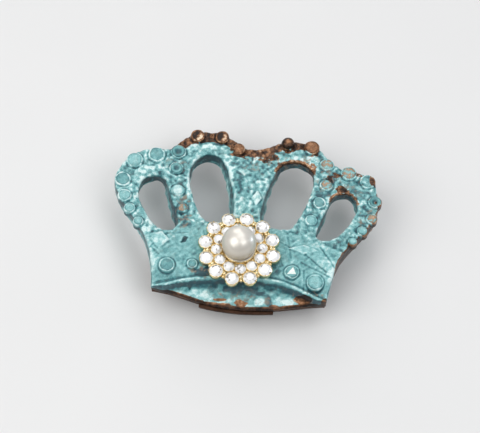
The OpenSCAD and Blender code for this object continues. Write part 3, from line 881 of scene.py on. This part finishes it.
def make_chip(x0, y0, base):
    """The bare triangular face of a stone whose paint has come off."""
    corners = [(-1.15, -0.85), (1.1, -0.72), (0.25, 1.25)]
    low = [(x0 + a, y0 + b, base + 0.2) for a, b in corners]
    high = [(x0 + 0.86 * a, y0 + 0.86 * b, base + 0.47 + 0.08 * b) for a, b in corners]
    faces = [(3, 4, 5), (0, 1, 4, 3), (1, 2, 5, 4), (2, 0, 3, 5), (2, 1, 0)]
    glass = bare_glass()
    ob = put_mesh("bare_stone_face", low + high, faces, "painted_stone", glass, smooth=False)
    soften(ob, 0.05)


# ------------ build: button


# The button's rings of stones: the ring's radius and turn, the stones' diameter, and their name
STONE_RINGS = [(OUTER_RING_R, OUTER_TURN, OUTER_D, "outer"), (INNER_RING_R, INNER_TURN, INNER_D, "inner")]
CUP_TOP = SEAT_Z + CUP_H
PRONG_R = 0.17

# Gold beads beside the outer stones: distance from the button's middle, turn, radius, height of their
# middle, sides and stretch
BETWEEN = OUTER_TURN + 180 / STONES
BEADS = [(7.25, BETWEEN, 0.5, SEAT_Z + 0.42, 16, 1.1), (7.95, BETWEEN, 0.4, SEAT_Z + 0.12, 16, 1.1),
         (6.35, OUTER_TURN, 0.22, CUP_TOP - 0.02, 10, 1.0)]


def stone_cup(r, centre):
    """Cup round a stone of radius r."""
    profile = [(0, BUTTON_Z), (r - 0.05, BUTTON_Z), (r + 0.1, BUTTON_Z + 0.15), (r + 0.12, SEAT_Z),
               (r + 0.12, CUP_TOP - 0.3), (r + 0.07, CUP_TOP - 0.12), (r - 0.02, CUP_TOP - 0.08),
               (r - 0.1, CUP_TOP - 0.2), (r - 0.1, SEAT_Z), (0, SEAT_Z)]
    return lathe(profile, 28, centre)


def make_setting():
    """Gold setting: floor, a cup and prongs round each stone, beads, and the pearl's bowl."""
    floor = [(0, BUTTON_Z), (6.7, BUTTON_Z), (6.85, BUTTON_Z + 0.12), (6.85, SEAT_Z - 0.05),
             (6.7, SEAT_Z), (0, SEAT_Z)]
    bowl = [(2.4, SEAT_Z - 0.05), (3.7, SEAT_Z), (3.86, CUP_TOP - 0.2), (3.84, CUP_TOP + 0.32),
            (3.74, CUP_TOP + 0.42), (3.62, CUP_TOP + 0.36), (3.45, CUP_TOP - 0.1), (2.6, SEAT_Z + 0.05),
            (2.4, SEAT_Z - 0.05)]
    parts = [lathe(floor, 72, BUTTON)]
    for i in range(STONES):
        for ring, turn, d, _ in STONE_RINGS:
            x, y = on_ring(ring, turn, i)
            r = d / 2
            parts.append(stone_cup(r, (x, y)))
            for k in range(4):
                a = radians(turn + 45 + 90 * k) + i * 2 * pi / STONES
                prong = (x + r * cos(a), y + r * sin(a))
                parts.append(ball(PRONG_R, prong, CUP_TOP - 0.02, 10, 1.1))
        for distance, turn, radius, z, sides, stretch in BEADS:
            parts.append(ball(radius, on_ring(distance, turn, i), z, sides, stretch))
    parts.append(lathe(bowl, 72, BUTTON))
    gold = metal("gold_plate", (0.99, 0.88, 0.60), (0.72, 0.53, 0.24), 0.2, 2.5)
    put_mesh("gold_setting", *joined(parts), "gold_plate", gold, ["button_setting"])


def brilliant(radius, foot, girdle, height, centre, turn):
    """Cut stone with a table, stars, kites and girdle facets. Returns its mesh and each face's kind."""

    def ring(r, z, count, offset=0.0):
        angles = [turn + 2 * pi * (k + offset) / count for k in range(count)]
        return [(centre[0] + r * cos(a), centre[1] + r * sin(a), z) for a in angles]

    verts = ring(radius, foot, 16) + ring(radius, girdle, 16)
    verts += ring(radius * 0.80, girdle + height * 0.62, 8, 0.5)
    verts += ring(radius * 0.55, girdle + height, 8)
    verts.append((*centre, girdle + height))
    faces, kinds = [tuple(range(15, -1, -1))], ["foot"]
    for k in range(16):
        n = (k + 1) % 16
        faces.append((k, n, 16 + n, 16 + k))
        kinds.append("foot")
    for k in range(8):
        n = (k + 1) % 8
        star, before = 32 + k, 32 + (k - 1) % 8
        table, table_next = 40 + k, 40 + n
        g0, g1, g2 = 16 + 2 * k, 16 + 2 * k + 1, 16 + (2 * k + 2) % 16
        faces += [(table, star, table_next), (before, g0, star, table), (g0, g1, star), (g1, g2, star),
                  (table, table_next, 48)]
        kinds += ["star", "kite", "girdle", "girdle", "table"]
    return verts, faces, kinds


# Painted reflections, by kind of facet: how much light each throws back, as darkest, spread, and the share of
# dark ones
FLASH = {"foot": (0.5, 0.2, 0.0), "star": (0.4, 0.6, 0.5), "kite": (0.5, 0.5, 0.3),
         "girdle": (0.4, 0.6, 0.36), "table": (0.5, 0.5, 0.2)}


STONE_CROWN_H = 0.66


def make_cut_stones():
    """The button's two rings of cut stones."""
    material = cut_stone()
    for ring, turn, d, label in STONE_RINGS:
        for i in range(STONES):
            spin = chance(i, len(label), d > 3, SEED) * 0.7
            verts, faces, kinds = brilliant(d / 2 + 0.01, SEAT_Z + 0.02, CUP_TOP - 0.12, STONE_CROWN_H,
                                            on_ring(ring, turn, i), spin)
            name = f"{label}_stone_{i + 1:02d}"
            ob = put_mesh(f"cut_{name}", verts, faces, "clear_stone", material, [name], smooth=False)
            paint_flashes(ob.data, kinds, i + (100 if d > 3 else 200))


def paint_flashes(mesh, kinds, seed):
    """Painted reflections: how bright each facet is; more of those that face up the crown are dark."""
    attribute = mesh.attributes.new("flash", "FLOAT", "FACE")
    for face, kind in zip(mesh.polygons, kinds):
        low, spread, share = FLASH[kind]
        upper = 1.5 if face.normal.y > 0.05 else 0.5
        roll = chance(face.index, seed, 7, SEED)
        dark = chance(face.index, seed, 8, SEED) < share * upper
        attribute.data[face.index].value = 0.03 + 0.25 * roll if dark else low + spread * roll


def pearl_profile(radius, middle_z, rows):
    """Outline of a ball with a flat foot on its seat."""
    flat_angle = acos((radius - PEARL_FLAT) / radius)
    profile = [(0, SEAT_Z)]
    for i in range(rows + 1):
        a = flat_angle + (pi - flat_angle) * i / rows
        profile.append((radius * sin(a) if i < rows else 0, middle_z - radius * cos(a)))
    return profile


def make_pearl():
    """The pearl, slightly uneven, and the pale rim of the bowl that it sits in."""
    radius = PEARL_D / 2
    z = SEAT_Z + radius - PEARL_FLAT
    verts, faces = lathe(pearl_profile(radius, z, 56), 80, BUTTON)
    verts = np.array(verts)
    above_foot = verts[:, 2:3] > SEAT_Z + 0.01
    middle = np.array([BUTTON_X, BUTTON_Y, z])
    wave = 1 + 0.003 * noise(*verts.T, 2.4, 51)
    uneven = middle + (verts - middle) * wave[:, None] * 0.997 + [PEARL_SHIFT, 0, 0]
    verts = np.where(above_foot, uneven, verts)
    rim = [(2.9, 0.3), (3.3, 0.35), (3.6, 0.7), (3.6, 1.08), (3.45, 1.14), (3.2, 1.05), (2.9, 0.3)]
    seat = lathe([(r, SEAT_Z + up) for r, up in rim], 64, BUTTON)
    mesh = joined([(verts.tolist(), faces), seat])
    ob = put_mesh("pearl_bead", *mesh, "pearl_coat", pearl_coat(), ["pearl"])
    # Painted shade: the pearl is greyer further down from its top
    drop = np.append((z + radius - verts[:, 2]) / (2 * radius), np.zeros(len(seat[0])))
    set_attributes(ob.data, low=1.3 * drop)


GLUE_R = 5.9


def make_glue():
    """Adhesive squeezed out between the band and the button's floor."""
    sides, verts = 72, []
    heights = [0, 0.25, 0.5, 0.75, 1]
    for h in heights:
        for k in range(sides):
            a = 2 * pi * k / sides
            uneven = 0.28 * float(noise(3 * cos(a), 3 * sin(a), 0, 1.1, 61))
            r = GLUE_R + uneven + 0.12 * sin(pi * h)
            x, y = BUTTON_X + r * cos(a), BUTTON_Y + r * sin(a)
            foot = front_at(x, y) - 0.15
            verts.append((x, y, foot + (BUTTON_Z + 0.01 - foot) * h))
    faces = tube_faces(len(heights), sides)
    put_mesh("squeezed_glue", verts, faces, "clear_adhesive", adhesive(), ["button_glue"])


# ------------ build: back plate, clip and spring


def soften(ob, width_mm):
    """Rounds an object's sharp edges."""
    bevel = ob.modifiers.new("rounded_edges", "BEVEL")
    bevel.width, bevel.segments = width_mm * MM, 2
    bevel.limit_method, bevel.angle_limit = "ANGLE", radians(35)
    bpy.context.view_layer.update()
    mesh = bpy.data.meshes.new_from_object(ob.evaluated_get(bpy.context.evaluated_depsgraph_get()))
    ob.modifiers.clear()
    ob.data = mesh


def rounded_copy(name, node, width_mm, body, material):
    """The CAD node's own shape with welded faces and rounded edges."""
    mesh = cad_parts[node].data.copy()
    mesh.materials.clear()
    work = bmesh.new()
    work.from_mesh(mesh)
    bmesh.ops.remove_doubles(work, verts=work.verts, dist=2e-6)
    bmesh.ops.dissolve_limit(work, angle_limit=radians(1), verts=work.verts, edges=work.edges)
    work.to_mesh(mesh)
    work.free()
    mesh.name = name
    ob = add_object(name, mesh)
    mesh.materials.append(material)
    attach(ob, body)
    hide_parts(node)
    soften(ob, width_mm)
    ob.data.polygons.foreach_set("use_smooth", [True] * len(ob.data.polygons))
    ob.data.set_sharp_from_angle(angle=radians(32))


def make_clip():
    """The copper plate behind the casting and the alligator clip's jaws and pin."""
    steel = metal("nickel_plate", (0.66, 0.65, 0.63), (0.40, 0.39, 0.38), 0.24, 3.0, 0.25)
    copper = metal("aged_copper", (0.11, 0.056, 0.035), (0.022, 0.013, 0.010), 0.45, 1.2, 0.5)
    rounded_copy("copper_back", "back_plate", 0.16, "crown", copper)
    rounded_copy("steel_fixed_jaw", "clip_fixed_jaw", 0.14, "crown", steel)
    rounded_copy("steel_moving_jaw", "clip_moving_jaw", 0.12, "moving_jaw", steel)
    rounded_copy("steel_pin", "clip_hinge_pin", 0.08, "crown", steel)


PIN_X, PIN_Z, CLIP_Y = 6, 4, -5
COIL_R, COIL_PITCH, LEG, WIRE_R = 1, 0.56, 7, 0.25
COIL_FROM = 90  # degrees round the pin, from +X
COIL_LAST = COIL_FROM + 3 * 360 + 168.5
COIL_Y = CLIP_Y - COIL_PITCH * (COIL_LAST - COIL_FROM) / 720


def coil_point(degrees):
    """Place on the coil's middle line."""
    a = radians(degrees)
    y = COIL_Y + COIL_PITCH * (degrees - COIL_FROM) / 360
    return Vector((PIN_X + COIL_R * cos(a), y, PIN_Z + COIL_R * sin(a)))


def leg_point(degrees, length):
    """Place on the straight leg that leaves the coil there."""
    a = radians(degrees)
    return coil_point(degrees) + length * Vector((-sin(a), 0, cos(a)))


def make_spring():
    """The torsion spring round the pin, with a leg to each jaw."""
    path = [leg_point(COIL_FROM, -LEG * k / 8) for k in range(8, 0, -1)]
    path += [coil_point(a) for a in np.linspace(COIL_FROM, COIL_LAST, 120)]
    path += [leg_point(COIL_LAST, LEG * k / 8) for k in range(1, 9)]
    sides, verts = 14, []
    angles = np.arange(sides) * 2 * pi / sides
    for i, spot in enumerate(path):
        ahead = path[min(i + 1, len(path) - 1)] - path[max(i - 1, 0)]
        u = Vector((0, 1, 0)).cross(ahead).normalized()
        v = ahead.cross(u).normalized()
        radius = WIRE_R * (0.8 if i in (0, len(path) - 1) else 1)
        verts += [spot + radius * (cos(a) * u + sin(a) * v) for a in angles]
    faces = tube_faces(len(path), sides)
    wire = metal("spring_steel", (0.55, 0.54, 0.53), (0.30, 0.29, 0.29), 0.3, 5.0, 0.2)
    ob = put_mesh("spring_wire_coil", verts, faces, "spring_wire", wire, ["clip_spring"], body=None)
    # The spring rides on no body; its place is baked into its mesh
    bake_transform(ob)


make_casting()
for i, spot in enumerate(FRAME_STONES):
    make_painted_stone(i, spot)
make_setting()
make_cut_stones()
make_pearl()
make_glue()
make_clip()
make_spring()

# ------------ stage

FLOOR_HALF = 600


def make_stage():
    h = FLOOR_HALF * MM
    mesh = bpy.data.meshes.new("floor")
    mesh.from_pydata([(-h, -h, 0), (h, -h, 0), (h, h, 0), (-h, h, 0)], [], [(0, 1, 2, 3)])
    floor = add_object("floor", mesh)
    mesh.materials.append(plain_floor())


# Direction of the camera from the crown, and its roll, in degrees
VIEW_ELEVATION, VIEW_ROLL = 60.0, 4.93


def view_axes():
    """The camera's right and up, and the way from the crown to the camera."""
    e, r = radians(VIEW_ELEVATION), radians(VIEW_ROLL)
    away = Vector((0, -cos(e), sin(e)))
    right, up = Vector((1, 0, 0)), Vector((0, sin(e), cos(e)))
    return right * cos(r) + up * sin(r), up * cos(r) - right * sin(r), away


def softbox(name, u, v, distance, size, watts, colour=(1, 1, 1)):
    """Soft square light that shows at (u, v) on the pearl, as shares of its radius."""
    right, up, away = view_axes()
    n = right * u + up * v + away * sqrt(1 - u * u - v * v)
    way = 2 * n.dot(away) * n - away
    data = bpy.data.lights.new(name, "AREA")
    data.shape, data.size, data.energy, data.color = "SQUARE", size, watts, colour
    ob = add_object(name, data)
    ob.location = way * distance
    ob.rotation_euler = way.to_track_quat("Z", "Y").to_euler()


def make_lights():
    softbox("key", -0.28, 0.06, 0.7, 0.62, 3.0, (1.0, 0.99, 0.97))
    softbox("second", 0.26, 0.04, 0.7, 0.4, 1.2, (0.98, 0.99, 1.0))
    softbox("upper", 0.12, 0.42, 0.7, 0.5, 1.3, (0.99, 0.99, 1.0))
    softbox("rim", 0.74, 0.16, 0.6, 0.14, 0.8, (0.7, 0.85, 1.0))
    softbox("back", -0.1, 0.68, 0.8, 0.5, 1.5, (1.0, 0.98, 0.96))
    world = bpy.data.worlds.new("studio")
    bpy.context.scene.world = world
    world.use_nodes = True
    sky = world.node_tree.nodes["Background"].inputs
    sky["Color"].default_value = (0.93, 0.96, 1.0, 1)
    sky["Strength"].default_value = 0.2
    bpy.context.scene.view_settings.view_transform = "Standard"


# Camera: as far off as a short telephoto stands, in metres. Width of the picture, and how far its middle
# is from the crown's, in mm
VIEW_DISTANCE = 0.5
FRAME_WIDTH = 110.4
AIM_RIGHT, AIM_UP = -1.27, 1.36


def make_camera():
    right, up, away = view_axes()
    aim = Vector((0, -CENTRE_Y, FRONT_Z)) * MM + (right * AIM_RIGHT + up * AIM_UP) * MM
    data = bpy.data.cameras.new("camera")
    data.sensor_width = 36
    data.lens = data.sensor_width * VIEW_DISTANCE / (FRAME_WIDTH * MM)
    data.clip_start = 0.01
    ob = add_object("camera", data)
    turn = Matrix((right, up, away)).transposed().to_4x4()
    ob.matrix_world = Matrix.Translation(aim + away * VIEW_DISTANCE) @ turn
    bpy.context.scene.camera = ob


make_stage()
make_lights()
make_camera()
